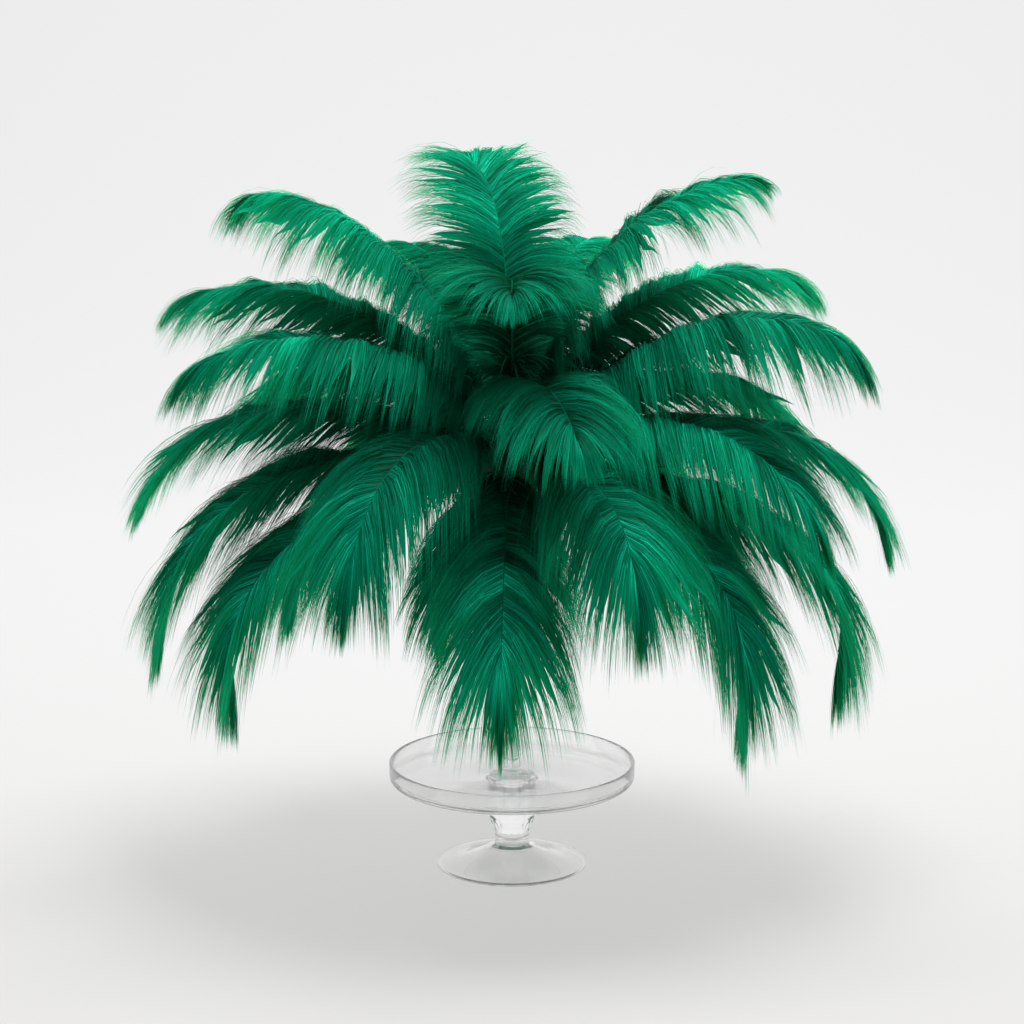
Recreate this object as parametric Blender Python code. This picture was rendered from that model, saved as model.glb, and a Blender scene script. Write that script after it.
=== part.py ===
"""Dyed ostrich plumes above a footed glass plate.

The plumes are pushed by their quills into a foam ball. The ball sits in the flared mouth of a slim glass vase, and
the vase stands on the plate. Metres, +Z up. The origin is the centre of the plate's foot, on the table.
"""

import math

import bmesh
import bpy
from mathutils import Matrix, Vector

# The footed plate
PLATE_RADIUS = 0.125
PLATE_TOP = 0.110
PLATE_DEPTH = 0.0215
PLATE_GLASS = 0.0045  # thickness of its floor and wall
PLATE_CORNER = 0.008
LIP_RADIUS = 0.0018
STEM_TOP_RADIUS = 0.0235
STEM_WAIST_RADIUS = 0.0165
STEM_WAIST_HEIGHT = 0.034
COLLAR_RADIUS = 0.0175
COLLAR_HEIGHT = 0.023
FOOT_RADIUS = 0.0765
FOOT_EDGE = 0.0035
FOOT_GLASS = 0.0038
FOOT_RING = 0.004
STAND_SIDES = 34

# The slim vase on the plate
GAP = 0.0003  # between pieces that touch
VASE_FOOT_RADIUS = 0.0235
VASE_FOOT_EDGE = 0.0025
VASE_RADIUS = 0.009
VASE_GLASS = 0.0022
VASE_FLOOR = 0.112  # height of the bottom inside
VASE_FLARE_START = 0.325
MOUTH_RADIUS = 0.030
VASE_SIDES = 20

# The foam ball in the mouth of the vase
BALL_RADIUS = 0.042
BALL_HEIGHT = 0.425  # of its centre
SOCKET_CLEARANCE = 0.0008

# What all plumes share
QUILL_START = 0.020  # from the ball's centre to the cut end of the quill
QUILL_BARE = 0.046  # length of shaft below the first barbs
QUILL_RADIUS = 0.0021
SHAFT_TIP_RADIUS = 0.0006
VANE_THICKNESS = 0.0022
SPINE_STEPS = 60
BARB_STEPS = 12
BARB_ANGLE = 38  # between a barb and the line across the shaft, halfway along the vane
BARB_ANGLE_BASE = 58
BARB_ANGLE_TIP = 68
BARB_LIFT = 0.45  # how far the barbs stand up from a level shaft before they fall
BARB_FALL = 2.8  # how strongly their own weight bends them, where they are quite limp
BASE_REACH = 0.34  # length of the first barbs, as a share of the longest
RAMP = 0.45  # share of the vane, from either end, where angle and length change
NOTCH = 0.90  # every second lock of barbs along the edge is this much shorter
VANE_STATIONS = (0.0, 0.12, 0.24, 0.36, 0.48, 0.60, 0.70, 0.79, 0.87, 0.94, 1.0)

# Each plume: its name, the azimuth (0 is +X, the right; -90 is the front) and the rise above level at which it
# leaves the ball, how far it has nodded over at its tip, how late it nods (1 is evenly), how it swings sideways,
# the length of its shaft, its longest barb, the barbs at its tip as a share of the longest, and how limp its barbs
# are (1 is quite limp). Angles are in degrees.
PLUMES = (
    ("crown_plume_back", 99, 83, 89, 1.5, 10, 0.363, 0.095, 0.45, 0.40),
    ("crown_plume_front", -90, 76, 100, 1.1, 0, 0.335, 0.105, 0.30, 0.45),
    ("upper_plume_right", 2, 71, 65, 1.6, 0, 0.352, 0.116, 0.40, 0.65),
    ("upper_plume_left", 183, 66, 59, 1.6, 0, 0.348, 0.138, 0.55, 0.90),
    ("upper_plume_back_right", 70, 60, 84, 1.4, 0, 0.352, 0.080, 0.55, 0.80),
    ("upper_plume_back_left", 118, 59, 84, 1.5, 0, 0.342, 0.080, 0.55, 0.80),
    ("high_plume_left", 163, 50, 66, 1.1, 0, 0.365, 0.118, 0.55, 0.85),
    ("high_plume_right", 22, 53, 71, 1.4, -5, 0.343, 0.125, 0.55, 0.85),
    ("high_plume_front", -80, 45, 80, 0.9, 5, 0.310, 0.125, 0.35, 0.60),
    ("high_plume_back", 90, 28, 70, 1.5, 0, 0.288, 0.120, 0.55, 1.00),
    ("middle_plume_front_left", -152, 46, 67, 1.1, -5, 0.344, 0.138, 0.55, 1.00),
    ("middle_plume_front_right", -25, 41, 66, 1.9, 0, 0.364, 0.133, 0.55, 1.00),
    ("middle_plume_left", 172, 17, 67, 1.6, 0, 0.358, 0.130, 0.55, 0.80),
    ("middle_plume_right", 5, 10, 77, 2.2, 0, 0.380, 0.127, 0.55, 0.85),
    ("middle_plume_back_right", 32, 25, 66, 1.3, 5, 0.338, 0.115, 0.55, 1.00),
    ("middle_plume_back_left", 141, 28, 68, 1.3, 0, 0.335, 0.117, 0.55, 1.00),
    ("low_plume_front_right", -40, 20, 72, 1.8, 5, 0.352, 0.137, 0.55, 1.00),
    ("low_plume_front_left", -121, 20, 86, 1.3, 5, 0.320, 0.160, 0.55, 1.00),
    ("low_plume_back_right", 62, 10, 76, 1.5, 0, 0.340, 0.130, 0.55, 1.00),
    ("low_plume_back_left", 118, 10, 76, 1.5, 0, 0.340, 0.130, 0.55, 1.00),
    ("hanging_plume_front", -92, -8, 56, 1.2, 0, 0.325, 0.143, 0.55, 0.85),
    ("hanging_plume_front_right", -65, 5, 68, 2.0, -10, 0.298, 0.165, 0.55, 1.00),
    ("hanging_plume_front_left", -111, -14, 56, 1.2, 0, 0.215, 0.086, 0.55, 0.85),
    ("hanging_plume_right", -11, -8, 94, 2.5, 3, 0.402, 0.146, 0.55, 1.00),
    ("hanging_plume_left", -173, 2, 80, 1.7, 6, 0.387, 0.138, 0.55, 0.80),
    ("hanging_plume_near_right", -37, -12, 87, 2.1, 0, 0.350, 0.154, 0.55, 1.00),
    ("hanging_plume_near_left", -150, -9, 83, 2.3, -6, 0.366, 0.160, 0.55, 0.90),
    ("hanging_plume_back", 90, -10, 56, 1.4, 0, 0.310, 0.130, 0.55, 1.00),
    ("hanging_plume_back_right", 38, -12, 62, 1.6, 0, 0.340, 0.128, 0.55, 1.00),
    ("hanging_plume_back_left", 142, -12, 62, 1.6, 0, 0.340, 0.128, 0.55, 1.00),
)


def surface(name, colour, roughness, transmission=0.0):
    """A Principled BSDF material."""
    material = bpy.data.materials.new(name)
    material.use_nodes = True
    shader = material.node_tree.nodes["Principled BSDF"]
    shader.inputs["Base Color"].default_value = (*colour, 1.0)
    shader.inputs["Roughness"].default_value = roughness
    shader.inputs["Transmission Weight"].default_value = transmission
    return material


def place(name, mesh, material):
    """Puts a mesh in the scene as a named piece, smooth except across its sharp edges."""
    piece = bpy.data.objects.new(name, mesh)
    bpy.context.scene.collection.objects.link(piece)
    mesh.materials.append(material)
    mesh.shade_smooth()
    mesh.set_sharp_from_angle(angle=math.radians(40))
    return piece


def turned(name, profile, sides, material):
    """A solid of revolution. Its profile runs from one end of the axis to the other, as (radius, height)."""
    mesh = bpy.data.meshes.new(name)
    bm = bmesh.new()
    corners = [bm.verts.new((radius, 0, height)) for radius, height in profile]
    lines = [bm.edges.new(pair) for pair in zip(corners, corners[1:])]
    bmesh.ops.spin(
        bm,
        geom=corners + lines,
        cent=(0, 0, 0),
        axis=(0, 0, 1),
        angle=math.tau,
        steps=sides,
        use_merge=True,
    )
    bmesh.ops.remove_doubles(bm, verts=bm.verts, dist=1e-6)
    bmesh.ops.recalc_face_normals(bm, faces=bm.faces)
    bm.to_mesh(mesh)
    bm.free()
    return place(name, mesh, material)


def arc(centre, radius, start, end, steps):
    """Points of a round corner in a profile, between two angles in degrees."""
    points = []
    for step in range(steps + 1):
        angle = math.radians(start + (end - start) * step / steps)
        points.append((centre[0] + radius * math.cos(angle), centre[1] + radius * math.sin(angle)))
    return points


def plate_profile():
    """The plate's section: its floor, its low upright wall with a rounded lip, and its underside."""
    underside = PLATE_TOP - PLATE_DEPTH
    floor = underside + PLATE_GLASS
    inner_corner = PLATE_CORNER - PLATE_GLASS / 2
    wall = PLATE_RADIUS - 2 * LIP_RADIUS
    profile = [(0, floor)]
    profile += arc((wall - inner_corner, floor + inner_corner), inner_corner, -90, 0, 3)
    profile += arc((PLATE_RADIUS - LIP_RADIUS, PLATE_TOP - LIP_RADIUS), LIP_RADIUS, 180, 0, 4)
    profile += arc((PLATE_RADIUS - PLATE_CORNER, underside + PLATE_CORNER), PLATE_CORNER, 0, -90, 3)
    return profile


def stem_profile():
    """The solid stem: a cup shape that narrows to a waist, then a short collar."""
    underside = PLATE_TOP - PLATE_DEPTH
    step = 0.002
    return [
        (STEM_TOP_RADIUS + 2 * step, underside - step / 2),
        (STEM_TOP_RADIUS, underside - 2 * step),
        (STEM_TOP_RADIUS, STEM_WAIST_HEIGHT + 9 * step),
        (STEM_TOP_RADIUS - 2 * step, STEM_WAIST_HEIGHT + 4 * step),
        (STEM_WAIST_RADIUS, STEM_WAIST_HEIGHT),
        (COLLAR_RADIUS, STEM_WAIST_HEIGHT - step),
        (COLLAR_RADIUS, COLLAR_HEIGHT),
    ]


def foot_profile():
    """The foot: a thin shallow cone of glass, which rests on the flat ring under its edge."""
    rise = COLLAR_HEIGHT - FOOT_EDGE
    outside = []
    inside = []
    for share in (0.12, 0.32, 0.55, 0.78, 0.98):
        radius = COLLAR_RADIUS + (FOOT_RADIUS - COLLAR_RADIUS) * share
        height = FOOT_EDGE + rise * (1 - share) ** 1.7
        outside.append((radius, height))
        inside.insert(0, (radius, height - FOOT_GLASS))
    bevel = 0.001
    ring = [(FOOT_RADIUS, FOOT_EDGE / 2), (FOOT_RADIUS - bevel, 0), (FOOT_RADIUS - bevel - FOOT_RING, 0)]
    return outside + ring + inside[1:] + [(0, COLLAR_HEIGHT - FOOT_GLASS)]


def make_stand(glass):
    """Plate, stem and foot, which are one piece of glass."""
    return turned("glass_stand", plate_profile() + stem_profile() + foot_profile(), STAND_SIDES, glass)


def make_vase(glass):
    """The slim vase: a small round foot, a narrow tube, and a flared mouth that the ball sits in."""
    foot = PLATE_TOP - PLATE_DEPTH + PLATE_GLASS + GAP
    inside = VASE_RADIUS - VASE_GLASS
    mouth = BALL_HEIGHT - math.sqrt((BALL_RADIUS + GAP) ** 2 - MOUTH_RADIUS**2)
    profile = [
        (0, foot),
        (VASE_FOOT_RADIUS - VASE_FOOT_EDGE / 2, foot),
        (VASE_FOOT_RADIUS, foot + VASE_FOOT_EDGE / 2),
        (VASE_FOOT_RADIUS - VASE_FOOT_EDGE / 2, foot + VASE_FOOT_EDGE),
        (VASE_RADIUS + 0.003, foot + 2 * VASE_FOOT_EDGE),
        (VASE_RADIUS, foot + 4 * VASE_FOOT_EDGE),
    ]
    for radius, shares in ((VASE_RADIUS, (0, 0.4, 0.7, 0.9, 1)), (inside, (0.97, 0.86, 0.64, 0.36, 0))):
        for share in shares:
            height = VASE_FLARE_START + (mouth - VASE_FLARE_START) * share
            profile.append((radius + (MOUTH_RADIUS - VASE_RADIUS) * share**2.2, height))
    profile += [(inside, VASE_FLOOR + inside / 2), (inside / 2, VASE_FLOOR), (0, VASE_FLOOR)]
    return turned("glass_vase", profile, VASE_SIDES, glass)


def heading(azimuth, rise):
    """The unit vector with that azimuth and rise, in radians."""
    return Vector((math.cos(rise) * math.cos(azimuth), math.cos(rise) * math.sin(azimuth), math.sin(rise)))


def ease(share):
    """Goes smoothly from 0 to 1, and stays there outside that span."""
    share = min(max(share, 0.0), 1.0)
    return share * share * (3 - 2 * share)


class Plume:
    """The curve of one plume's shaft, and the way that its barbs spread and hang."""

    def __init__(self, name, azimuth, rise, nod, late, swing, length, barb, tip, limp):
        self.name = name
        self.azimuth = math.radians(azimuth)
        self.rise = math.radians(rise)
        self.nod = math.radians(nod)
        self.late = late
        self.swing = math.radians(swing)
        self.length = length
        self.barb = barb
        self.tip = tip
        self.limp = limp
        point = Vector((0, 0, BALL_HEIGHT)) + heading(self.azimuth, self.rise) * QUILL_START
        self.points = [point.copy()]
        for step in range(SPINE_STEPS):
            point += self.along((step + 0.5) / SPINE_STEPS) * (length / SPINE_STEPS)
            self.points.append(point.copy())

    def angles(self, share):
        """The shaft's azimuth and rise. It is straight where it is bare, and then nods more and more."""
        bare = QUILL_BARE / self.length
        bent = max(0.0, (share - bare) / (1 - bare)) ** self.late
        return self.azimuth + self.swing * bent, self.rise - self.nod * bent

    def along(self, share):
        return heading(*self.angles(share))

    def across(self, share):
        azimuth, _ = self.angles(share)
        return Vector((-math.sin(azimuth), math.cos(azimuth), 0))

    def above(self, share):
        azimuth, rise = self.angles(share)
        return heading(azimuth, rise + math.pi / 2)

    def at(self, share):
        place_on_spine = min(share, 1.0) * SPINE_STEPS
        low = min(int(place_on_spine), SPINE_STEPS - 1)
        return self.points[low].lerp(self.points[low + 1], place_on_spine - low)

    def radius(self, share):
        return QUILL_RADIUS + (SHAFT_TIP_RADIUS - QUILL_RADIUS) * share

    def shaft_share(self, on_vane):
        """Turns a place on the vane, 0 at its base and 1 at its tip, into a share of the whole shaft."""
        bare = QUILL_BARE / self.length
        return bare + (1 - bare) * on_vane

    def barb_path(self, on_vane, side, reach):
        """Points of one barb, from the shaft to its own tip. Side is 1 for the left and -1 for the right."""
        share = self.shaft_share(on_vane)
        from_base = ease(on_vane / RAMP)
        to_tip = ease((on_vane - 1 + RAMP) / RAMP)
        angle = BARB_ANGLE_BASE + (BARB_ANGLE - BARB_ANGLE_BASE) * from_base + (BARB_ANGLE_TIP - BARB_ANGLE) * to_tip
        angle = math.radians(angle)
        size = BASE_REACH + (1 - BASE_REACH) * from_base - (1 - self.tip) * to_tip**2
        above = self.above(share)
        way = self.across(share) * side * math.cos(angle) + self.along(share) * math.sin(angle)
        way += above * BARB_LIFT * max(0.0, above.z)
        point = self.at(share)
        path = [point.copy()]
        for step in range(BARB_STEPS):
            fallen = way + Vector((0, 0, -BARB_FALL * self.limp * (step + 0.5) / BARB_STEPS))
            point += fallen.normalized() * (self.barb * size * reach / BARB_STEPS)
            path.append(point.copy())
        return path


def quill_loop(plume, share):
    """Eight points round the bare quill, in the order of vane_loop."""
    points = []
    for corner in range(8):
        angle = corner * math.pi / 4
        spoke = plume.above(share) * math.cos(angle) + plume.across(share) * math.sin(angle)
        points.append(plume.at(share) + spoke * plume.radius(share))
    return points


def vane_loop(plume, on_vane, reach):
    """Eight points round the shaft and both vanes: ridge, left vane out and back, keel, right vane out and back."""
    share = plume.shaft_share(on_vane)
    lift = plume.above(share) * (plume.radius(share) + VANE_THICKNESS / 2)
    middle = BARB_STEPS // 2
    vanes = []
    for side in (1, -1):
        path = plume.barb_path(on_vane, side, reach)
        face = (path[middle + 1] - path[middle]).cross(plume.along(share)) * -side
        face = face.normalized() * (VANE_THICKNESS / 2)
        vanes.append((path[middle] + face, path[-1], path[middle] - face))
    left, right = vanes
    centre = plume.at(share)
    return [centre + lift, *left, centre - lift, *reversed(right)]


def make_plume(plume, dyed):
    """One feather: the quill, the shaft and both vanes of locked barbs, grown as one piece."""
    bare = QUILL_BARE / plume.length
    loops = [quill_loop(plume, share) for share in (0, bare - 0.02)]
    for number, on_vane in enumerate(VANE_STATIONS):
        loops.append(vane_loop(plume, on_vane, NOTCH if number % 2 else 1.0))
    mesh = bpy.data.meshes.new(plume.name)
    bm = bmesh.new()
    rings = []
    for points in loops:
        corners = [bm.verts.new(point) for point in points]
        rings.append([bm.edges.new((corners[i], corners[(i + 1) % 8])) for i in range(8)])
    for near, far in zip(rings, rings[1:]):
        bmesh.ops.bridge_loops(bm, edges=near + far)
    bm.faces.new([edge.verts[0] for edge in rings[0]])
    ridge, left_top, left_tip, left_under, keel, right_under, right_tip, right_top = [
        edge.verts[0] for edge in rings[-1]
    ]
    bm.faces.new((ridge, left_top, left_under, keel))
    bm.faces.new((left_top, left_tip, left_under))
    bm.faces.new((ridge, keel, right_under, right_top))
    bm.faces.new((right_top, right_under, right_tip))
    bmesh.ops.recalc_face_normals(bm, faces=bm.faces)
    bmesh.ops.triangulate(bm, faces=bm.faces)
    bm.to_mesh(mesh)
    bm.free()
    return place(plume.name, mesh, dyed)


def make_socket_cutters(plumes, foam):
    """A rod along each quill, a little thicker than the quill, which is never part of the object."""
    mesh = bpy.data.meshes.new("socket_cutters")
    bm = bmesh.new()
    depth = BALL_RADIUS - QUILL_START + 0.006
    for plume in plumes:
        way = plume.along(0)
        rod = bmesh.ops.create_cone(
            bm,
            cap_ends=True,
            segments=6,
            radius1=QUILL_RADIUS + SOCKET_CLEARANCE,
            radius2=QUILL_RADIUS + SOCKET_CLEARANCE,
            depth=depth,
        )
        turn = Vector((0, 0, 1)).rotation_difference(way).to_matrix().to_4x4()
        middle = Vector((0, 0, BALL_HEIGHT)) + way * (QUILL_START - SOCKET_CLEARANCE + depth / 2)
        bmesh.ops.transform(bm, matrix=Matrix.Translation(middle) @ turn, verts=rod["verts"])
    bm.to_mesh(mesh)
    bm.free()
    cutters = place("socket_cutters", mesh, foam)
    cutters.hide_render = True
    cutters.display_type = "WIRE"
    return cutters


def make_ball(plumes, foam):
    """The foam ball, with a socket for each quill."""
    mesh = bpy.data.meshes.new("foam_ball")
    bm = bmesh.new()
    bmesh.ops.create_icosphere(bm, subdivisions=2, radius=BALL_RADIUS)
    bmesh.ops.translate(bm, verts=bm.verts, vec=(0, 0, BALL_HEIGHT))
    bm.to_mesh(mesh)
    bm.free()
    ball = place("foam_ball", mesh, foam)
    sockets = ball.modifiers.new("sockets", "BOOLEAN")
    sockets.operation = "DIFFERENCE"
    sockets.use_self = True
    sockets.object = make_socket_cutters(plumes, foam)
    return ball


def main():
    for old in list(bpy.data.objects):
        bpy.data.objects.remove(old)
    glass = surface("clear_glass", (0.95, 0.98, 0.97), 0.02, 1.0)
    foam = surface("green_foam", (0.02, 0.12, 0.06), 0.9)
    dyed = surface("emerald_feather", (0.0, 0.30, 0.17), 0.6)
    plumes = [Plume(*row) for row in PLUMES]
    make_stand(glass)
    make_vase(glass)
    make_ball(plumes, foam)
    for plume in plumes:
        make_plume(plume, dyed)


main()
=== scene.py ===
import math

import bmesh
import bpy
import numpy as np
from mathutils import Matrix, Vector


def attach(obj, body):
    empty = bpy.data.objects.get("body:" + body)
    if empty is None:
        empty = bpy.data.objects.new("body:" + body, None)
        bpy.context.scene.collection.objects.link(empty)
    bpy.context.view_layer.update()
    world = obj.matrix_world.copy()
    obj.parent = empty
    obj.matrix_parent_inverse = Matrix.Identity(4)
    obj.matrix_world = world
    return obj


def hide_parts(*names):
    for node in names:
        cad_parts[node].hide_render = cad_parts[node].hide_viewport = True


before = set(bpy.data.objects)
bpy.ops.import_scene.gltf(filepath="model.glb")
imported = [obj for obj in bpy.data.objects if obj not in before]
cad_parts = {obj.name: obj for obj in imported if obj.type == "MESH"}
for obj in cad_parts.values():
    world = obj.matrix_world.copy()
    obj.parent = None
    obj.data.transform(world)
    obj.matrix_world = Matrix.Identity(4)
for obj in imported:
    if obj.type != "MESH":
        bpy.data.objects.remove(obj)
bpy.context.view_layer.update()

# --------------------------------------------------------------------------------------------------
# The footed plate: one piece of clear soda glass, a low-walled plate on a solid stem and a thin blown foot.
# It is turned from the same section as its solid, with more facets and fire-polished corners, and its stem
# gets the shallow pressed flutes that the solid leaves out.

PLATE_RADIUS = 0.125
PLATE_TOP = 0.110
PLATE_DEPTH = 0.0215
PLATE_GLASS = 0.0045
PLATE_CORNER = 0.008
LIP_RADIUS = 0.0018
STEM_FILLET = 0.004
STEM_TOP_RADIUS = 0.0235
STEM_WAIST_RADIUS = 0.0165
STEM_WAIST_HEIGHT = 0.034
CUP_HEIGHT = 0.018  # of the cup that widens from the waist of the stem
CUP_CURVE = 1.25
FLUTES = 16
FLUTE_DEPTH = 0.0010
FLUTES_LOW = 0.035
FLUTES_HIGH = 0.050
COLLAR_RADIUS = 0.0175
COLLAR_HEIGHT = 0.023
COLLAR_ROUND = 0.0015
FOOT_RADIUS = 0.0765
FOOT_EDGE = 0.0035
FOOT_GLASS = 0.0038
FOOT_CURVE = 1.7  # how steeply the foot rises to the collar
FOOT_SPREAD = 0.98  # share of the foot's radius where its rounded edge begins
FOOT_RING = 0.0028  # width of the ring that the foot stands on
RING_STEP = 0.001

TURNED_SIDES = 128
ROUND_STEPS = 8  # facets of a rounded edge
CUP_STEPS = 8
FOOT_STEPS = 18
SHARP_ANGLE = 35  # degrees past which an edge stays crisp
WELD = 1e-6


class Wire:
    """One socket of a shader, on which sums are written as they are on numbers."""

    def __init__(self, tree, socket):
        self.tree = tree
        self.socket = socket

    def math(self, operation, *values):
        node = self.tree.nodes.new("ShaderNodeMath")
        node.operation = operation
        for socket, value in zip(node.inputs, values):
            if isinstance(value, Wire):
                self.tree.links.new(value.socket, socket)
            else:
                socket.default_value = value
        return Wire(self.tree, node.outputs[0])

    def __add__(self, other):
        return self.math("ADD", self, other)

    def __sub__(self, other):
        return self.math("SUBTRACT", self, other)

    def __mul__(self, other):
        return self.math("MULTIPLY", self, other)

    def __truediv__(self, other):
        return self.math("DIVIDE", self, other)

    def __rsub__(self, other):
        return self.math("SUBTRACT", other, self)

    def __rtruediv__(self, other):
        return self.math("DIVIDE", other, self)

    __radd__ = __add__
    __rmul__ = __mul__


class Finish:
    """A material under construction: its nodes and its Principled shader."""

    def __init__(self, name, **constants):
        self.material = bpy.data.materials.new(name)
        self.material.use_nodes = True
        self.tree = self.material.node_tree
        self.shader = self.tree.nodes["Principled BSDF"]
        for label, value in constants.items():
            self.shader.inputs[label.replace("_", " ")].default_value = value

    def node(self, kind, settings=None, **inputs):
        made = self.tree.nodes.new("ShaderNode" + kind)
        for label, value in (settings or {}).items():
            setattr(made, label, value)
        for label, value in inputs.items():
            self.feed(made.inputs[label.replace("_", " ")], value)
        return made

    def feed(self, socket, value):
        if isinstance(value, Wire):
            self.tree.links.new(value.socket, socket)
        else:
            socket.default_value = value

    def wire(self, node, output=0):
        return Wire(self.tree, node.outputs[output])

    def drive(self, label, value):
        self.feed(self.shader.inputs[label], value)

    def attribute(self, label):
        return self.wire(self.node("Attribute", {"attribute_name": label}), "Fac")

    def noise(self, scale, detail):
        """Cloudy values over the piece, in its own Object coordinates."""
        where = self.wire(self.node("TexCoord"), "Object")
        return self.wire(self.node("TexNoise", Vector=where, Scale=scale, Detail=detail), "Fac")

    def ramp(self, factor, *stops):
        made = self.node("ValToRGB", Fac=factor)
        bands = made.color_ramp.elements
        while len(bands) < len(stops):
            bands.new(0.5)
        for band, (position, colour) in zip(bands, stops):
            band.position = position
            band.color = (*colour, 1.0)
        return self.wire(made, "Color")

    def blend(self, factor, first, second):
        """From the first colour, where factor is 0, to the second, where it is 1."""
        made = self.node("Mix", {"data_type": "RGBA"})
        for socket, value in zip((made.inputs[0], made.inputs[6], made.inputs[7]), (factor, first, second)):
            self.feed(socket, value)
        return self.wire(made, 2)

    def bump(self, height, distance, strength):
        made = self.node("Bump", Height=height, Distance=distance, Strength=strength)
        self.drive("Normal", self.wire(made, "Normal"))


def add_piece(name, mesh, finish):
    piece = bpy.data.objects.new(name, mesh)
    bpy.context.scene.collection.objects.link(piece)
    mesh.materials.append(finish.material)
    return piece


def turned(name, profile, finish):
    """Spins a section, its (radius, height) points from one end of the axis to the other, into a solid."""
    mesh = bpy.data.meshes.new(name)
    bm = bmesh.new()
    corners = [bm.verts.new((radius, 0, height)) for radius, height in profile]
    lines = [bm.edges.new(pair) for pair in zip(corners, corners[1:])]
    bmesh.ops.spin(
        bm,
        geom=corners + lines,
        cent=(0, 0, 0),
        axis=(0, 0, 1),
        angle=math.tau,
        steps=TURNED_SIDES,
        use_merge=True,
    )
    bmesh.ops.remove_doubles(bm, verts=bm.verts, dist=WELD)
    bmesh.ops.recalc_face_normals(bm, faces=bm.faces)
    bm.to_mesh(mesh)
    bm.free()
    mesh.shade_smooth()
    mesh.set_sharp_from_angle(angle=math.radians(SHARP_ANGLE))
    return add_piece(name, mesh, finish)


def arc(centre, radius, start, end, steps=ROUND_STEPS):
    """Points of a section round centre, from the angle start to the angle end, in degrees."""
    points = []
    for step in range(steps + 1):
        angle = math.radians(start + (end - start) * step / steps)
        points.append((centre[0] + radius * math.cos(angle), centre[1] + radius * math.sin(angle)))
    return points


def plate_profile():
    underside = PLATE_TOP - PLATE_DEPTH
    floor = underside + PLATE_GLASS
    inner_corner = PLATE_CORNER - PLATE_GLASS / 2
    wall = PLATE_RADIUS - 2 * LIP_RADIUS
    profile = [(0, floor)]
    profile += arc((wall - inner_corner, floor + inner_corner), inner_corner, -90, 0)
    profile += arc((PLATE_RADIUS - LIP_RADIUS, PLATE_TOP - LIP_RADIUS), LIP_RADIUS, 180, 0, steps=10)
    profile += arc((PLATE_RADIUS - PLATE_CORNER, underside + PLATE_CORNER), PLATE_CORNER, 0, -90)
    return profile


def stem_profile():
    underside = PLATE_TOP - PLATE_DEPTH
    profile = arc((STEM_TOP_RADIUS + STEM_FILLET, underside - STEM_FILLET), STEM_FILLET, 90, 180, steps=6)
    cup_top = STEM_WAIST_HEIGHT + CUP_HEIGHT
    for step in range(CUP_STEPS + 1):
        share = step / CUP_STEPS
        radius = STEM_WAIST_RADIUS + (STEM_TOP_RADIUS - STEM_WAIST_RADIUS) * (1 - share**CUP_CURVE)
        profile.append((radius, cup_top + (STEM_WAIST_HEIGHT - cup_top) * share))
    collar = (COLLAR_RADIUS - COLLAR_ROUND, STEM_WAIST_HEIGHT - 2 * COLLAR_ROUND)
    profile += arc(collar, COLLAR_ROUND, 60, 0, steps=4)
    profile.append((COLLAR_RADIUS, COLLAR_HEIGHT))
    return profile


def foot_profile():
    rise = COLLAR_HEIGHT - FOOT_EDGE
    outside = []
    inside = []
    for step in range(1, FOOT_STEPS + 1):
        share = step / FOOT_STEPS * FOOT_SPREAD
        radius = COLLAR_RADIUS + (FOOT_RADIUS - COLLAR_RADIUS) * share
        height = FOOT_EDGE + rise * (1 - share) ** FOOT_CURVE
        outside.append((radius, height))
        inside.insert(0, (radius, height - FOOT_GLASS))
    edge = FOOT_EDGE / 2
    rim = arc((FOOT_RADIUS - edge, edge), edge, 40, -90)
    ring = FOOT_RADIUS - edge - FOOT_RING
    inside = [point for point in inside if point[0] < ring - RING_STEP]
    return outside + rim + [(ring, 0)] + inside + [(0, COLLAR_HEIGHT - FOOT_GLASS)]


def press_flutes(glass):
    """Presses the hollows into the narrow part of the stem, deepest halfway up."""
    for vertex in glass.data.vertices:
        share = (vertex.co.z - FLUTES_LOW) / (FLUTES_HIGH - FLUTES_LOW)
        if 0 < share < 1:
            turn = math.atan2(vertex.co.y, vertex.co.x)
            cut = FLUTE_DEPTH * math.sin(math.pi * share) * (1 + math.cos(FLUTES * turn)) / 2
            narrower = 1 - cut / math.hypot(vertex.co.x, vertex.co.y)
            vertex.co.x *= narrower
            vertex.co.y *= narrower


def clear_glass(name, tint, body):
    """Clear glass with a faint ripple. Its alpha, body, keeps its edges as pale as thin polished glass."""
    finish = Finish(
        name,
        Base_Color=(*tint, 1.0),
        Roughness=0.0,
        IOR=1.42,
        Transmission_Weight=1.0,
        Alpha=body,
    )
    ripple = finish.noise(scale=26.0, detail=1.5)
    finish.bump(ripple, distance=0.0006, strength=0.35)
    return finish


stand_glass = clear_glass("stand_glass", tint=(0.985, 0.995, 0.99), body=0.88)
stand = turned("footed_plate", plate_profile() + stem_profile() + foot_profile(), stand_glass)
press_flutes(stand)
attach(stand, "root")
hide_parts("glass_stand")

# --------------------------------------------------------------------------------------------------
# The slim vase: drawn clear glass with a small round foot and a flared mouth. It stands loose on the plate,
# and the foam ball sits in its mouth.

GAP = 0.0003  # between two pieces that rest on each other
VASE_FOOT_RADIUS = 0.0235
VASE_FOOT_EDGE = 0.0025
VASE_FOOT_RISE = 3  # times that edge, which the foot rises to the stem
VASE_FOOT_CURVE = 3
VASE_RADIUS = 0.009
VASE_GLASS = 0.0022
VASE_FLOOR = 0.112
VASE_FLARE_START = 0.325
VASE_FLARE_CURVE = 2.2
VASE_LIP = 0.97  # share of the flare's height where its inner wall begins
MOUTH_RADIUS = 0.030
BALL_RADIUS = 0.042
BALL_HEIGHT = 0.425
VASE_FOOT_STEPS = 10
VASE_FLARE_STEPS = 16


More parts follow.
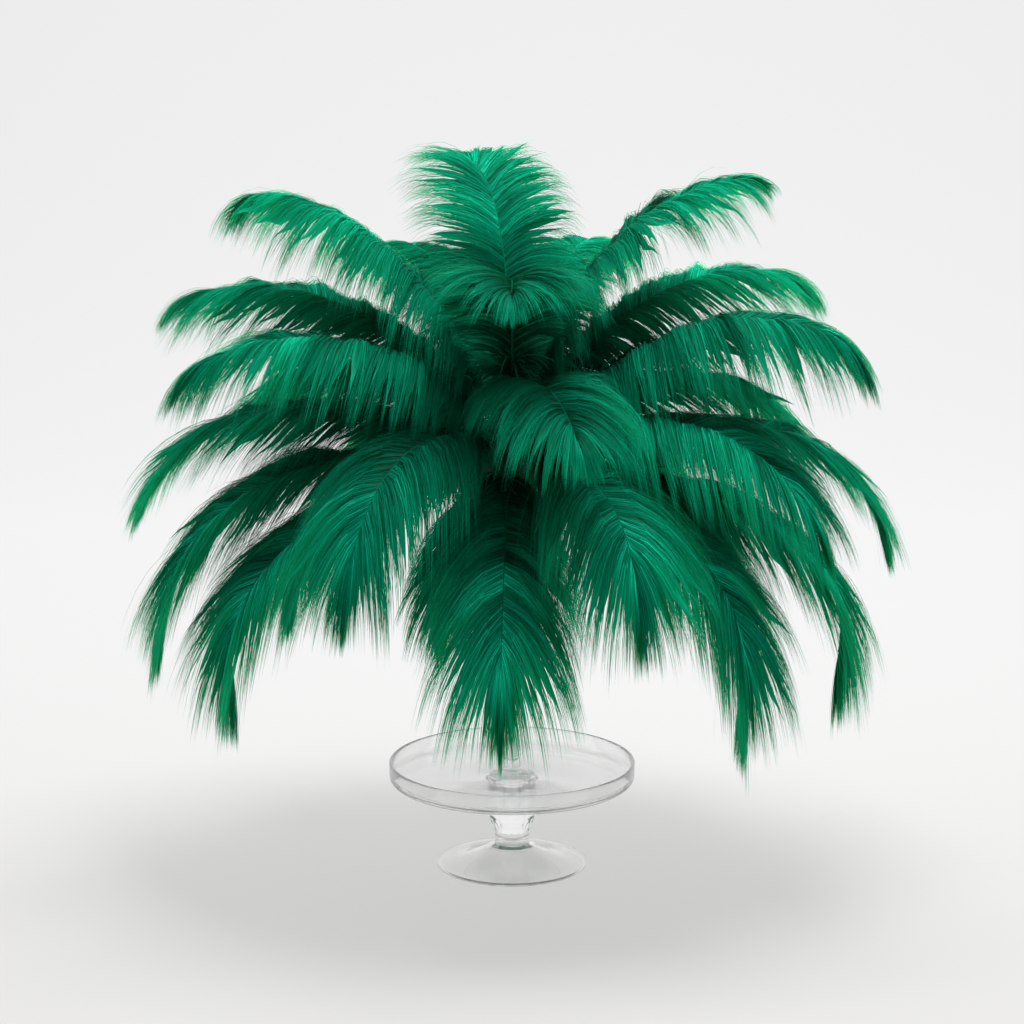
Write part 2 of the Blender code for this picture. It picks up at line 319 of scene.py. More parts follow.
def vase_profile():
    foot = PLATE_TOP - PLATE_DEPTH + PLATE_GLASS + GAP
    inside = VASE_RADIUS - VASE_GLASS
    mouth = BALL_HEIGHT - math.sqrt((BALL_RADIUS + GAP) ** 2 - MOUTH_RADIUS**2)
    edge = VASE_FOOT_EDGE / 2
    profile = [(0, foot)] + arc((VASE_FOOT_RADIUS - edge, foot + edge), edge, -90, 90)
    for step in range(1, VASE_FOOT_STEPS + 1):
        share = step / VASE_FOOT_STEPS
        radius = VASE_RADIUS + (VASE_FOOT_RADIUS - edge - VASE_RADIUS) * (1 - share) ** VASE_FOOT_CURVE
        profile.append((radius, foot + VASE_FOOT_EDGE + VASE_FOOT_RISE * VASE_FOOT_EDGE * share))
    upwards = [step / VASE_FLARE_STEPS for step in range(VASE_FLARE_STEPS + 1)]
    downwards = [VASE_LIP * (1 - share) for share in upwards]
    for wall, shares in ((VASE_RADIUS, upwards), (inside, downwards)):
        for share in shares:
            height = VASE_FLARE_START + (mouth - VASE_FLARE_START) * share
            profile.append((wall + (MOUTH_RADIUS - VASE_RADIUS) * share**VASE_FLARE_CURVE, height))
    profile += arc((0, VASE_FLOOR + inside / 2), inside, 0, -70, steps=6)[1:]
    profile.append((0, profile[-1][1]))
    return profile


vase_glass = clear_glass("vase_glass", tint=(0.99, 0.997, 0.993), body=0.50)
vase = turned("slim_vase", vase_profile(), vase_glass)
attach(vase, "root")
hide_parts("glass_vase")

# --------------------------------------------------------------------------------------------------
# The foam ball: fine dry green foam that the quills are pushed into, resting in the vase's mouth. It keeps
# its solid, with a finish of its own that shows the small cells of the foam.

foam = Finish("dry_green_foam", Roughness=0.95)
cells = foam.noise(scale=900.0, detail=2.0)
foam.drive("Base Color", foam.ramp(cells, (0.3, (0.003, 0.030, 0.015)), (0.7, (0.012, 0.075, 0.040))))
foam.bump(cells, distance=0.0006, strength=0.8)
ball = bpy.data.objects["foam_ball"]
for ball_slot in ball.material_slots:
    ball_slot.material = foam.material

# --------------------------------------------------------------------------------------------------
# The plumes: an ostrich's wing plumes, stripped at the quill and dyed emerald, and pushed into the foam. Each
# has a horn shaft that nods over at its tip, and two vanes of long limp barbs, which cling together in locks
# and hang down at their ends.

QUILL_START = 0.020  # from the ball's centre to the cut end of the quill
QUILL_BARE = 0.046  # length of quill and shaft below the vanes
QUILL_RADIUS = 0.0021
SHAFT_TIP_RADIUS = 0.0006
BARB_ANGLE = 38  # degrees that the barbs lean towards the tip of the plume
BARB_ANGLE_BASE = 58
BARB_ANGLE_TIP = 68
BARB_LIFT = 0.45  # how far the barbs rise from a level shaft
BARB_FALL = 2.8  # how strongly their own weight bends them, where they are quite limp
LATE_FALL = 0.6  # how much more it bends their ends
BARB_SWEEP = 1.1  # how far their ends curve along the shaft, where it lies level
BARB_ROOT = (0.4, 0.7)  # to the side of the shaft's middle and above it, as shares of its radius
BASE_REACH = 0.75  # length of the first barbs, as a share of the longest
RAMP = 0.34  # share of the vane, from either end, where angle and length change
SPINE_STEPS = 240

# Name of its solid, azimuth, rise, nod, lateness of the nod, sideways swing, shaft length, reach of its
# longest free barbs, reach of those at its tip as a share of the longest, and limpness (angles in degrees).
PLUMES = (
    ("crown_plume_back", 99, 83, 89, 1.5, 10, 0.363, 0.110, 0.45, 0.40),
    ("crown_plume_front", -90, 76, 100, 1.1, 0, 0.335, 0.116, 0.30, 0.45),
    ("upper_plume_right", 2, 71, 65, 1.6, 0, 0.352, 0.136, 0.40, 0.65),
    ("upper_plume_left", 183, 66, 59, 1.6, 0, 0.348, 0.144, 0.55, 0.90),
    ("upper_plume_back_right", 70, 60, 84, 1.4, 0, 0.352, 0.094, 0.55, 0.80),
    ("upper_plume_back_left", 118, 59, 84, 1.5, 0, 0.342, 0.094, 0.55, 0.80),
    ("high_plume_left", 163, 50, 66, 1.1, 0, 0.365, 0.137, 0.55, 0.85),
    ("high_plume_right", 22, 53, 71, 1.4, -5, 0.343, 0.137, 0.55, 0.85),
    ("high_plume_front", -80, 45, 80, 0.9, 5, 0.310, 0.126, 0.35, 0.60),
    ("high_plume_back", 90, 28, 70, 1.5, 0, 0.288, 0.124, 0.55, 1.00),
    ("middle_plume_front_left", -152, 46, 67, 1.1, -5, 0.344, 0.144, 0.55, 1.00),
    ("middle_plume_front_right", -25, 41, 66, 1.9, 0, 0.364, 0.152, 0.55, 1.00),
    ("middle_plume_left", 172, 17, 67, 1.6, 0, 0.358, 0.156, 0.55, 0.80),
    ("middle_plume_right", 5, 10, 77, 2.2, 0, 0.380, 0.147, 0.55, 0.85),
    ("middle_plume_back_right", 32, 25, 66, 1.3, 5, 0.338, 0.137, 0.55, 1.00),
    ("middle_plume_back_left", 141, 28, 68, 1.3, 0, 0.335, 0.134, 0.55, 1.00),
    ("low_plume_front_right", -40, 20, 72, 1.8, 5, 0.352, 0.158, 0.55, 1.00),
    ("low_plume_front_left", -121, 20, 86, 1.3, 5, 0.320, 0.165, 0.55, 1.00),
    ("low_plume_back_right", 62, 10, 76, 1.5, 0, 0.340, 0.136, 0.55, 1.00),
    ("low_plume_back_left", 118, 10, 76, 1.5, 0, 0.340, 0.136, 0.55, 1.00),
    ("hanging_plume_front", -92, -8, 56, 1.2, 0, 0.325, 0.162, 0.55, 0.85),
    ("hanging_plume_front_right", -65, 5, 68, 2.0, -10, 0.298, 0.171, 0.55, 1.00),
    ("hanging_plume_front_left", -111, -14, 56, 1.2, 0, 0.215, 0.100, 0.55, 0.85),
    ("hanging_plume_right", -11, -8, 94, 2.5, 3, 0.402, 0.163, 0.55, 1.00),
    ("hanging_plume_left", -173, 2, 80, 1.7, 6, 0.387, 0.166, 0.55, 0.80),
    ("hanging_plume_near_right", -37, -12, 87, 2.1, 0, 0.350, 0.171, 0.55, 1.00),
    ("hanging_plume_near_left", -150, -9, 83, 2.3, -6, 0.366, 0.168, 0.55, 0.90),
    ("hanging_plume_back", 90, -10, 56, 1.4, 0, 0.310, 0.136, 0.55, 1.00),
    ("hanging_plume_back_right", 38, -12, 62, 1.6, 0, 0.340, 0.132, 0.55, 1.00),
    ("hanging_plume_back_left", 142, -12, 62, 1.6, 0, 0.340, 0.132, 0.55, 1.00),
)

# Painted light and shade: these plumes are lighter or darker as a whole than the rest, for how the light falls
# on them.
PLUME_PAINTED_LIGHT_AND_SHADE = {
    "crown_plume_front": 0.2,
    "high_plume_left": 0.8,
    "high_plume_right": 1.4,
    "high_plume_front": 0.5,
    "middle_plume_front_right": 0.8,
    "middle_plume_left": 1.2,
    "middle_plume_right": 0.75,
    "low_plume_front_right": 1.25,
    "low_plume_front_left": 0.8,
    "hanging_plume_front": 1.45,
    "hanging_plume_front_right": 1.25,
    "hanging_plume_right": 1.6,
    "hanging_plume_left": 1.5,
    "hanging_plume_near_right": 1.5,
    "hanging_plume_near_left": 1.4,
}

# The locks of barbs, and how much they differ: by pure chance, and in slow waves along the vane.
LOCK_WIDTH = 0.0045  # where a lock leaves the shaft
LOCK_UNEVEN = 0.42  # share of that width by which its edges stray
LOCK_LENGTH = 0.76  # of its close part, as a share of its longest barbs
LOCK_REACH = 1.02  # of its longest barbs, as a share of the plume's
LOCK_PARTING = (0.28, 0.62)  # share of its length where its barbs begin to close up
LOCK_TONE = 0.5
WEB_TONE = 0.5  # share of the tone that its close part shows
CHANCE = {"reach": 0.06, "turn": 2.5, "fall": 0.07, "lift": 0.02, "tone": 0.1}
WAVES = {"turn": 4.0, "fall": 0.12, "lift": 0.09, "tone": 0.2}
WAVE_SHAPE = (0.15, 0.25, 0.3, 0.25, 0.15)
WAVE_HEIGHT = 1.3
# Painted shade: each vane is darker towards its foot, in the crowded middle of the bouquet, and lighter towards
# its end.
PAINTED_SHADE_FOOT = 0.05  # share of the tone that the foot of a vane shows
PAINTED_SHADE_RISE = 1.3  # and what its end shows above that
PAINTED_SHADE_REACH = 0.85
LOCK_ROWS = 7
GUIDE_STEPS = 24
STRAND_WIDTH = 0.0007  # of a strand of one colour across a lock
OTHER_SIDE = 500.0  # strands between those of the two vanes

# The single barbs.
BARB_PITCH = 0.00024
BARB_STEPS = 6
BARB_WIDTH = 0.0006
BARB_WIDTHS = (0.6, 1.3)  # of single barbs, as shares of that
BARB_TAPER = 0.72
BARB_TWIST = (16, 40)  # degrees of chance at the root, and from there to the point
BARB_TONES = (0.4, 1.2)  # least share of its lock's tone, and most that chance adds
BARB_SHORTER = 0.28  # most that a barb falls short of its lock
BARB_CHANCE = {"turn": 2.2, "fall": 0.05, "lift": 0.035}
BARB_CLING = (0.20, 0.85)  # how closely barbs follow their lock
STRAYS = 0.05  # share of the barbs that follow no lock
STRAY_CLING = 0.1
STRAY_CHANCE = 2.2  # how many times as far the strays differ
CROWD = 0.1  # share of the shaft, at its tip, where barbs crowd
CROWDED = 0.16  # share of the barbs that stand there
TIP_FAN = 0.16  # share of the vane, at its tip, where the barbs turn straight on

# The down, which is short soft barbs on the lowest part of the shaft.
DOWN_BARBS = 165
DOWN_STEPS = 6
DOWN_FROM = 0.55  # share of the bare quill and shaft where it begins
DOWN_TO = 0.26  # share of the whole shaft where it ends
DOWN_LENGTH = (0.025, 0.058)
DOWN_WIDTH = (2.5, 7.0)  # times that of a barb
DOWN_OUT = (0.5, 1.0)  # how far it points away from the shaft
DOWN_ALONG = (0.5, 1.1)  # and along it
DOWN_FALL = (0.8, 2.4)
DOWN_TWIST = (30, 60)
DOWN_TONE = 0.3

SHAFT_SIDES = 6
SHAFT_RINGS = 40
SHAFT_TONE = 0.5
STRAND_SPREAD = 400  # strands of colour that single barbs are drawn from
FIRST_SEED = 100  # of the first plume's chance values
DOWNWARDS = np.array((0.0, 0.0, -1.0))


def ease(share):
    """From 0 to 1 with a soft start and a soft end."""
    share = np.clip(share, 0.0, 1.0)
    return share * share * (3 - 2 * share)


def unit(vectors):
    return vectors / np.maximum(np.linalg.norm(vectors, axis=-1, keepdims=True), 1e-9)


def heading(azimuth, rise):
    """Unit vectors that point azimuth round from +X and rise above level, in radians."""
    return np.stack((np.cos(rise) * np.cos(azimuth), np.cos(rise) * np.sin(azimuth), np.sin(rise)), -1)


class Plume:
    """The curve of one plume's shaft, with the directions along, across and above it."""

    def __init__(self, name, azimuth, rise, nod, late, swing, length, barb, tip, limp):
        self.name = name
        self.azimuth, self.rise = math.radians(azimuth), math.radians(rise)
        self.nod, self.swing = math.radians(nod), math.radians(swing)
        self.late = late
        self.length = length
        self.barb = barb
        self.tip = tip
        self.limp = limp
        self.bare = QUILL_BARE / length
        middles = (np.arange(SPINE_STEPS) + 0.5) / SPINE_STEPS
        steps = heading(*self.angles(middles)) * (length / SPINE_STEPS)
        start = np.array((0, 0, BALL_HEIGHT)) + heading(self.azimuth, self.rise) * QUILL_START
        self.points = np.vstack((start, start + np.cumsum(steps, 0)))

    def angles(self, share):
        bent = np.clip((share - self.bare) / (1 - self.bare), 0, None) ** self.late
        return self.azimuth + self.swing * bent, self.rise - self.nod * bent

    def frame(self, share):
        azimuth, rise = self.angles(share)
        across = np.stack((-np.sin(azimuth), np.cos(azimuth), np.zeros_like(azimuth)), -1)
        return heading(azimuth, rise), across, heading(azimuth, rise + math.pi / 2)

    def at(self, share):
        spots = np.clip(share, 0, 1) * SPINE_STEPS
        low = np.minimum(spots.astype(int), SPINE_STEPS - 1)
        part = (spots - low)[:, None]
        return self.points[low] * (1 - part) + self.points[low + 1] * part

    def radius(self, share):
        return QUILL_RADIUS + (SHAFT_TIP_RADIUS - QUILL_RADIUS) * share


def rolling(count, rng):
    """Chance values that change gently from one lock to the next, mostly between -1 and 1."""
    values = rng.normal(0, WAVE_HEIGHT, count + len(WAVE_SHAPE) - 1)
    return np.convolve(values, WAVE_SHAPE, "valid")


class Vane:
    """One side of a plume. Its barbs are parted into locks, which lean, lift and hang each in its own way."""

    def __init__(self, plume, side, rng):
        self.plume = plume
        self.side = side
        self.width = plume.length * (1 - plume.bare)
        count = round(self.width / LOCK_WIDTH)
        cuts = (np.arange(1, count) + rng.uniform(-LOCK_UNEVEN, LOCK_UNEVEN, count - 1)) / count
        self.edges = np.concatenate(((0.0,), cuts, (1.0,)))
        self.middles = (self.edges[1:] + self.edges[:-1]) / 2
        self.reach = LOCK_REACH + rng.normal(0, CHANCE["reach"], count)
        self.turn = rng.normal(0, CHANCE["turn"], count) + WAVES["turn"] * rolling(count, rng)
        limper = 1 + rng.normal(0, CHANCE["fall"], count) + WAVES["fall"] * rolling(count, rng)
        self.fall = BARB_FALL * plume.limp * limper
        self.lift = rng.normal(0, CHANCE["lift"], count) + WAVES["lift"] * rolling(count, rng)
        self.parting = rng.uniform(*LOCK_PARTING, count)
        self.tone = LOCK_TONE + WAVES["tone"] * rolling(count, rng) + rng.normal(0, CHANCE["tone"], count)
        # Painted shade and light: the tone darkens towards the foot of the vane, and some whole plumes are
        # lighter or darker.
        self.tone *= (PAINTED_SHADE_FOOT + PAINTED_SHADE_RISE * ease(self.middles / PAINTED_SHADE_REACH)) * PLUME_PAINTED_LIGHT_AND_SHADE.get(plume.name, 1.0)

    def habit(self, values, on_vane):
        return np.interp(on_vane, self.middles, values)

    def paths(self, on_vane, steps, reach=1.0, turn=0.0, fall=1.0, lift=0.0):
        """Barbs from the shaft to their tips, and at each root the direction across the barb in the vane."""
        plume = self.plume
        share = plume.bare + (1 - plume.bare) * on_vane
        along, across, above = plume.frame(share)
        from_base = ease(on_vane / RAMP)
        to_tip = ease((on_vane - 1 + RAMP) / RAMP)
        angle = BARB_ANGLE_BASE + (BARB_ANGLE - BARB_ANGLE_BASE) * from_base
        angle = angle + (BARB_ANGLE_TIP - BARB_ANGLE) * to_tip
        angle = angle + self.habit(self.turn, on_vane) * (1 - to_tip / 2)
        fan = ease((on_vane - 1 + TIP_FAN) / TIP_FAN)
        angle = np.radians(angle + (90 - angle) * fan + turn)[:, None]
        size = BASE_REACH + (1 - BASE_REACH) * from_base - (1 - plume.tip) * to_tip**2
        size = size * self.habit(self.reach, on_vane) * reach
        outwards = across * self.side
        rising = BARB_LIFT * np.clip(above[:, 2], 0, None) + self.habit(self.lift, on_vane) + lift
        way = outwards * np.cos(angle) + along * np.sin(angle) + above * rising[:, None]
        flat = along * np.cos(angle) - outwards * np.sin(angle)
        root = plume.at(share) + (outwards * BARB_ROOT[0] + above * BARB_ROOT[1]) * plume.radius(share)[:, None]
        middles = (np.arange(steps) + 0.5) / steps
        pull = (self.habit(self.fall, on_vane) * fall)[:, None] * (middles + LATE_FALL * middles**4)[None, :]
        level = 1 - along[:, 2] ** 2
        sweep = (BARB_SWEEP * plume.limp * level * (1 - to_tip))[:, None] * (middles**2)[None, :]
        ways = unit(way[:, None, :] + pull[..., None] * DOWNWARDS + sweep[..., None] * along[:, None, :])
        lengths = (plume.barb * size / steps)[:, None, None]
        return trail(root, ways * lengths), flat

    def gather(self, points, on_vane, own, cling):
        """Draws barbs, which reach the share own of their lock's length, towards the middle of the lock."""
        lock = np.clip(np.searchsorted(self.edges, on_vane) - 1, 0, len(self.middles) - 1)
        guides, _ = self.paths(self.middles, GUIDE_STEPS)
        rows = points.shape[1] - 1
        share = np.arange(rows + 1) / rows
        goals = along_path(guides[lock], share[None, :] * own[:, None])
        parting = self.parting[lock][:, None]
        hold = cling[:, None] * ease((share[None, :] - parting) / (1 - parting))
        return points + (goals - points) * hold[..., None]


def trail(root, moves):
    """Each root, and the points that its moves lead to one after another."""
    return np.concatenate((root[:, None], root[:, None] + np.cumsum(moves, 1)), 1)


def along_path(paths, where):
    """Points at the places where, 0 to 1 for each point, on each path."""
    steps = paths.shape[1] - 1
    spots = np.clip(where, 0, 1) * steps
    low = np.minimum(spots.astype(int), steps - 1)
    part = (spots - low)[..., None]
    rows = np.arange(len(paths))[:, None]
    return paths[rows, low] * (1 - part) + paths[rows, low + 1] * part


class Heap:
    """Vertices and faces of many small shapes for one mesh, with the values that its material reads."""

    def __init__(self):
        self.verts = []
        self.quads = []
        self.triangles = []
        self.values = {"tone": [], "place": [], "strand": [], "shaft": []}
        self.count = 0

    def add(self, verts, quads, triangles, **values):
        self.verts.append(verts)
        self.quads.append(quads + self.count)
        self.triangles.append(triangles + self.count)
        for label, layer in self.values.items():
            layer.append(np.broadcast_to(values.get(label, 0.0), len(verts)))
        self.count += len(verts)

    def add_strips(self, body, tips, tone, strand):
        """Tapered strips: body has their points by strip, row and column, and tips the point of each."""
        count, rows, columns, _ = body.shape
        a_strip = rows * columns + 1
        verts = np.concatenate((body.reshape(count, -1, 3), tips[:, None]), 1)
        row, column = np.meshgrid(np.arange(rows - 1), np.arange(columns - 1), indexing="ij")
        corner = (row * columns + column).ravel()
        quads = np.stack((corner, corner + 1, corner + columns + 1, corner + columns), 1)
        last = (rows - 1) * columns + np.arange(columns - 1)
        ends = np.stack((last, last + 1, np.full(columns - 1, a_strip - 1)), 1)
        first = np.arange(count)[:, None, None] * a_strip
        place = np.append(np.repeat(np.arange(rows) / rows, columns), 1.0)
        across = np.append(np.tile(np.arange(columns), rows), (columns - 1) / 2).astype(int)
        self.add(
            verts.reshape(-1, 3),
            (quads[None] + first).reshape(-1, 4),
            (ends[None] + first).reshape(-1, 3),
            tone=np.repeat(tone, a_strip),
            place=np.tile(place, count),
            strand=strand[:, across].ravel(),
        )

    def mesh(self, name):
        made = bpy.data.meshes.new(name)
        quads, triangles = np.concatenate(self.quads), np.concatenate(self.triangles)
        made.vertices.add(self.count)
        made.vertices.foreach_set("co", np.concatenate(self.verts).astype(np.float32).ravel())
        corners = np.concatenate((quads.ravel(), triangles.ravel()))
        starts = np.append(np.arange(len(quads)) * 4, len(quads) * 4 + np.arange(len(triangles)) * 3)
        made.loops.add(len(corners))
        made.loops.foreach_set("vertex_index", corners.astype(np.int32))
        made.polygons.add(len(starts))
        made.polygons.foreach_set("loop_start", starts.astype(np.int32))
        for label, layer in self.values.items():
            values = np.concatenate(layer).astype(np.float32)
            made.attributes.new(label, "FLOAT", "POINT").data.foreach_set("value", values)
        made.update(calc_edges=True)
        made.shade_smooth()
        return made


def add_ribbons(heap, paths, flat, width, twist, tone, strand):
    """A narrow ribbon along each path, lying in the vane and twisting towards its point."""
    rows = paths.shape[1]
    steps = np.diff(paths, axis=1)
    ways = unit(np.concatenate((steps[:, :1], steps[:, 1:] + steps[:, :-1], steps[:, -1:]), 1))
    across = np.empty_like(paths)
    carried = flat
    for row in range(rows):
        carried = unit(carried - (carried * ways[:, row]).sum(-1, keepdims=True) * ways[:, row])
        across[:, row] = carried
    place = np.arange(rows) / (rows - 1)
    angle = twist[:, :1] + twist[:, 1:] * place[None, :]
    across = across * np.cos(angle)[..., None] + np.cross(ways, across) * np.sin(angle)[..., None]
    half = width[:, None] / 2 * (1 - BARB_TAPER * place**1.5)[None, :]
    offset = (across * half[..., None])[:, :-1]
    body = np.stack((paths[:, :-1] - offset, paths[:, :-1] + offset), 2)
    heap.add_strips(body, paths[:, -1], tone, strand[:, None] + np.array((0.0, 2.0)))


def add_shaft(heap, plume):
    """A tube of horn from the cut quill to the fine tip."""
    share = np.linspace(0, 1, SHAFT_RINGS)
    along, across, above = plume.frame(share)
    angle = (np.arange(SHAFT_SIDES) * math.tau / SHAFT_SIDES)[None, :, None]
    spokes = above[:, None] * np.cos(angle) + across[:, None] * np.sin(angle)
    verts = plume.at(share)[:, None] + spokes * plume.radius(share)[:, None, None]
    around = np.arange(SHAFT_SIDES)
    onward = (around + 1) % SHAFT_SIDES
    ring = np.arange(SHAFT_RINGS - 1)[:, None] * SHAFT_SIDES
    next_ring = ring + SHAFT_SIDES
    walls = np.stack((ring + around, ring + onward, next_ring + onward, next_ring + around), -1)
    fan = np.arange(1, SHAFT_SIDES - 1)
    cut_end = np.stack((0 * fan, fan + 1, fan), 1)
    fine_end = cut_end[:, ::-1] + ring[-1] + SHAFT_SIDES
    triangles = np.concatenate((cut_end, fine_end))
    heap.add(verts.reshape(-1, 3), walls.reshape(-1, 4), triangles, tone=SHAFT_TONE, shaft=1.0)


def add_locks(heap, vane):
    """The close part of each lock: a thin web that parts from its neighbours and narrows to a point."""
    columns = np.stack((vane.edges[:-1], vane.middles, vane.edges[1:]), 1)
    roots = np.clip(columns.ravel(), WELD, 1 - WELD)
    points, _ = vane.paths(roots, LOCK_ROWS, reach=LOCK_LENGTH)
    within = (columns + np.array((WELD, 0, -WELD))).ravel()
    points = vane.gather(points, within, np.full(len(roots), LOCK_LENGTH), np.ones(len(roots)))
    points = points.reshape(-1, 3, LOCK_ROWS + 1, 3).transpose(0, 2, 1, 3)
    strand = columns * vane.width / STRAND_WIDTH + (OTHER_SIDE if vane.side > 0 else 0.0)
    heap.add_strips(points[:, :-1], points[:, -1, 1], WEB_TONE * vane.tone, strand)


def add_barbs(heap, vane, rng):
    """The single barbs, most of which run together with their lock towards its tip."""
    many = int(vane.width / BARB_PITCH)
    on_vane = rng.random(many)
    crowded = rng.random(many) < CROWDED
    on_vane = np.where(crowded, 1 - CROWD * on_vane, on_vane)
    own = 1 - BARB_SHORTER * rng.random(many)
    stray = rng.random(many) < STRAYS
    wild = np.where(stray, STRAY_CHANCE, 1.0)
    points, flat = vane.paths(
        on_vane,
        BARB_STEPS,
        reach=own,
        turn=rng.normal(0, BARB_CHANCE["turn"], many) * wild,
        fall=1 + rng.normal(0, BARB_CHANCE["fall"], many) * wild,
        lift=rng.normal(0, BARB_CHANCE["lift"], many) * wild,
    )
    cling = rng.uniform(*BARB_CLING, many) * np.where(stray, STRAY_CLING, 1.0)
    points = vane.gather(points, on_vane, own, cling)
    width = BARB_WIDTH * rng.uniform(*BARB_WIDTHS, many)
    twist = np.radians(np.stack([rng.normal(0, spread, many) for spread in BARB_TWIST], 1))
    tone = vane.habit(vane.tone, on_vane) * (BARB_TONES[0] + BARB_TONES[1] * rng.random(many))
    add_ribbons(heap, points, flat, width, twist, tone, rng.uniform(0, STRAND_SPREAD, many))


def add_down(heap, plume, rng):
    """The soft barbs at the foot of the vane, which stand out all round the shaft."""
    many = DOWN_BARBS
    start = plume.bare * DOWN_FROM
    share = start + (DOWN_TO - start) * rng.random(many)
    along, across, above = plume.frame(share)
    angle = rng.uniform(0, math.tau, many)[:, None]
    out = across * np.cos(angle) + above * np.sin(angle)
    way = out * rng.uniform(*DOWN_OUT, many)[:, None] + along * rng.uniform(*DOWN_ALONG, many)[:, None]
    middles = (np.arange(DOWN_STEPS) + 0.5) / DOWN_STEPS
    fall = rng.uniform(*DOWN_FALL, many)
    ways = unit(way[:, None, :] + fall[:, None, None] * middles[None, :, None] * DOWNWARDS)
    lengths = rng.uniform(*DOWN_LENGTH, many) / DOWN_STEPS
    points = trail(plume.at(share), ways * lengths[:, None, None])
    width = BARB_WIDTH * rng.uniform(*DOWN_WIDTH, many)
    twist = np.radians(np.stack([rng.normal(0, spread, many) for spread in DOWN_TWIST], 1))
    flat = unit(np.cross(way, out))
    tone = rng.random(many) * DOWN_TONE
    add_ribbons(heap, points, flat, width, twist, tone, rng.uniform(0, STRAND_SPREAD, many))


def dyed_feather():
    """Dyed barbs: each strand takes the dye a little differently, with painted shade towards the foot of each
    vane and of each barb, and light shows through the thin vane.
    """
    finish = Finish("dyed_feather", Roughness=0.5, Specular_IOR_Level=0.01)
    tone = finish.attribute("tone")
    place = finish.attribute("place")
    shaft = finish.attribute("shaft")
    strand = finish.attribute("strand")
    combed = finish.wire(finish.node("TexNoise", {"noise_dimensions": "1D"}, W=strand, Scale=0.3, Detail=3.0))
    cloudy = finish.noise(scale=14.0, detail=2.0)
    # Painted shade: tone holds the darker foot of each vane and the lighter or darker plumes, and place
    # lightens each barb towards its end.
    tone_and_painted_shade = tone * 0.5 + cloudy * 0.2 + combed * 0.6 + place * 0.35 - 0.33
    dye_and_shade = finish.ramp(
        tone_and_painted_shade,
        (0.12, (0.000, 0.018, 0.008)),
        (0.50, (0.000, 0.220, 0.120)),
        (0.88, (0.008, 0.820, 0.500)),
    )
    horn = finish.ramp(cloudy, (0.3, (0.000, 0.055, 0.028)), (0.7, (0.000, 0.110, 0.058)))
    finish.drive("Base Color", finish.blend(shaft, dye_and_shade, horn))
    finish.bump(combed, distance=0.0008, strength=0.5)
    thin = finish.node("BsdfTranslucent", Color=(0.015, 0.500, 0.220, 1.0))
    both = finish.node("MixShader")
    finish.feed(both.inputs[0], (0.10 + 0.75 * place) * (0.25 + 1.2 * tone) * (1 - shaft))
    finish.tree.links.new(finish.shader.outputs[0], both.inputs[1])
    finish.tree.links.new(thin.outputs[0], both.inputs[2])
    finish.tree.links.new(both.outputs[0], finish.tree.nodes["Material Output"].inputs["Surface"])
    return finish


feather = dyed_feather()
for number, row in enumerate(PLUMES):
    plume = Plume(*row)
    rng = np.random.default_rng(FIRST_SEED + number)
    heap = Heap()
    add_shaft(heap, plume)
    for side in (1.0, -1.0):
        vane = Vane(plume, side, rng)
        add_locks(heap, vane)
        add_barbs(heap, vane, rng)
    add_down(heap, plume, rng)
    barbs_name = plume.name + "_barbs"
    piece = add_piece(barbs_name, heap.mesh(barbs_name), feather)
    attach(piece, "root")
    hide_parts(plume.name)

# --------------------------------------------------------------------------------------------------
# The studio: a pale sweep of paper that turns up into a backdrop, soft light from above, and the photograph's
# view. The paper's glow is painted light: it fills in the shadows on the paper and grows lighter towards its
# back.

SWEEP_REACH = 14.0  # of the paper, to the front and to each side
SWEEP_BACK = 1.6  # where the paper begins to turn up
SWEEP_BEND = 1.2
SWEEP_TOP = 5.0
GLOW_FROM = -0.3
GLOW_DEPTH = 2.0

# Painted light: the paper's emission fills in its shadows and brightens it towards the back.
paper = Finish("pale_paper", Base_Color=(0.12, 0.12, 0.12, 1.0), Roughness=0.9, Emission_Strength=1.0)
spot = paper.node("SeparateXYZ", Vector=paper.wire(paper.node("TexCoord"), "Object"))
behind = (paper.wire(spot, "Y") - GLOW_FROM) / GLOW_DEPTH
painted_glow = paper.ramp(behind, (0.0, (0.545, 0.540, 0.530)), (1.0, (0.680, 0.680, 0.680)))
paper.drive("Emission Color", painted_glow)
sweep_mesh = bpy.data.meshes.new("paper_sweep")
bm = bmesh.new()
bend = arc((SWEEP_BACK, SWEEP_BEND), SWEEP_BEND, -90, 0, steps=24)
side_view = [(-SWEEP_REACH, 0.0)] + bend + [(SWEEP_BACK + SWEEP_BEND, SWEEP_TOP)]
line = [bm.verts.new((-SWEEP_REACH, y, z)) for y, z in side_view]
edges = [bm.edges.new(pair) for pair in zip(line, line[1:])]
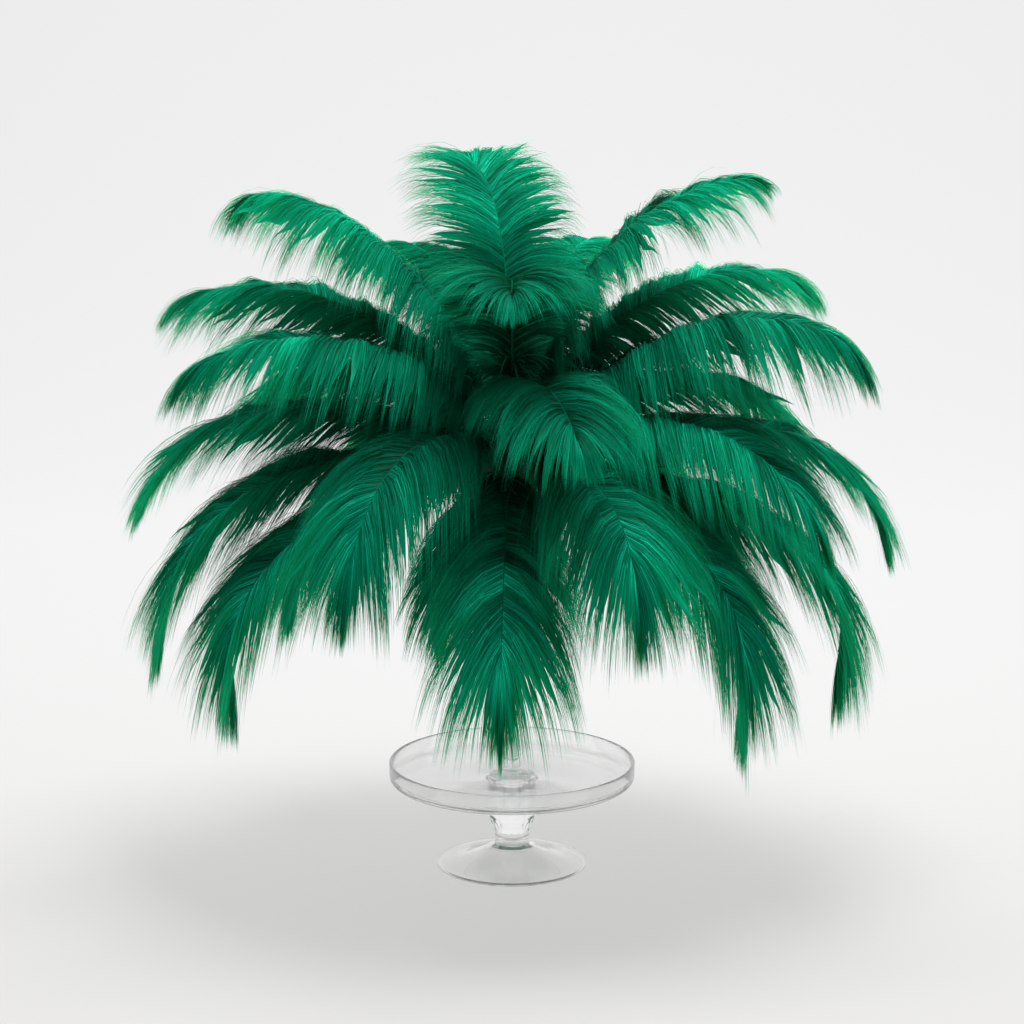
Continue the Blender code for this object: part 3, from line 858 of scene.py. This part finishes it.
swept = bmesh.ops.extrude_edge_only(bm, edges=edges)
moved = [item for item in swept["geom"] if isinstance(item, bmesh.types.BMVert)]
bmesh.ops.translate(bm, verts=moved, vec=(2 * SWEEP_REACH, 0, 0))
bmesh.ops.recalc_face_normals(bm, faces=bm.faces)
bm.to_mesh(sweep_mesh)
bm.free()
sweep_mesh.shade_smooth()
sweep = add_piece("paper_sweep", sweep_mesh, paper)


def softbox(name, place, aim, size, watts):
    """A plain white panel of light at place, turned towards aim."""
    light = bpy.data.lights.new(name, "AREA")
    light.shape = "RECTANGLE"
    light.size, light.size_y = size
    light.energy = watts
    lamp = bpy.data.objects.new(name, light)
    bpy.context.scene.collection.objects.link(lamp)
    lamp.location = place
    lamp.rotation_euler = (Vector(aim) - Vector(place)).to_track_quat("-Z", "Y").to_euler()


softbox("top_light", place=(0.3, 0.2, 2.9), aim=(0, 0, 0.4), size=(1.6, 1.6), watts=163.0)
softbox("front_light", place=(0.8, -2.4, 0.9), aim=(0, 0, 0.2), size=(1.2, 1.2), watts=15.0)
softbox("left_light", place=(-2.2, 0.4, 1.5), aim=(0, 0, 0.4), size=(1.0, 1.6), watts=10.0)

world = bpy.data.worlds.new("studio_air")
world.use_nodes = True
air = world.node_tree.nodes["Background"]
air.inputs["Color"].default_value = (0.97, 0.98, 1.0, 1.0)
air.inputs["Strength"].default_value = 0.24
bpy.context.scene.world = world
bpy.context.scene.view_settings.view_transform = "Standard"

CAMERA_HEIGHT = 1.0
CAMERA_DISTANCE = 3.0
CAMERA_PITCH = 11.9  # degrees below level
CAMERA_LENS = 107.7  # millimetres
CAMERA_SENSOR = 36.0  # millimetres across
camera_data = bpy.data.cameras.new("camera")
camera_data.lens = CAMERA_LENS
camera_data.sensor_width = CAMERA_SENSOR
camera = bpy.data.objects.new("camera", camera_data)
camera.location = (0, -CAMERA_DISTANCE, CAMERA_HEIGHT)
camera.rotation_euler = (math.radians(90 - CAMERA_PITCH), 0, 0)
bpy.context.scene.collection.objects.link(camera)
bpy.context.scene.camera = camera
